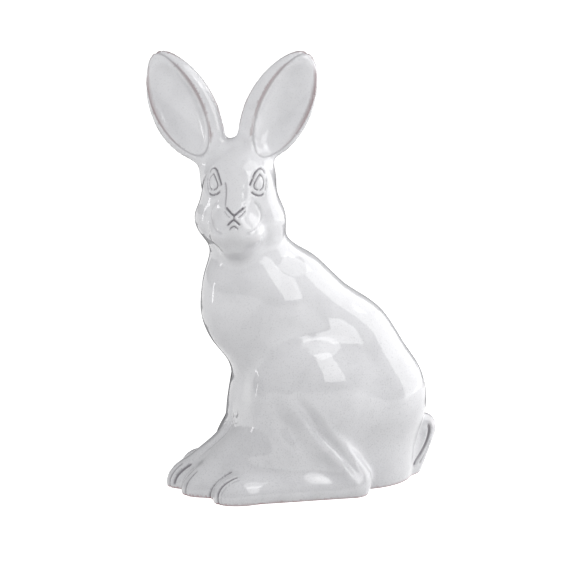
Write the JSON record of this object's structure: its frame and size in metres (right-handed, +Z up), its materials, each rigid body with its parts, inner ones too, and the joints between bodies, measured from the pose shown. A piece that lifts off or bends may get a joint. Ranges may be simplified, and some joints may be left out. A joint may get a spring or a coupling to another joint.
{
  "type": "hare sculpture",
  "caption": "Seated hare in white-glazed earthenware, cast in one piece, looking over its left shoulder with both ears raised. It stands on its flat underside.",
  "frame": {"origin": "on the table, under the middle of the figure's outer box", "axes": "+Z up to the ear tips; the body faces -Y and its left side is +X, the side it looks to"},
  "size_m": [0.131, 0.2358, 0.3503],
  "materials": {
    "glaze": "glossy white tin glaze, thin and warmer on the ear rims, greyer where it pools in the drawn lines"
  },
  "bodies": {
    "root": {"hare": "glaze"}
  },
  "joints": []
}
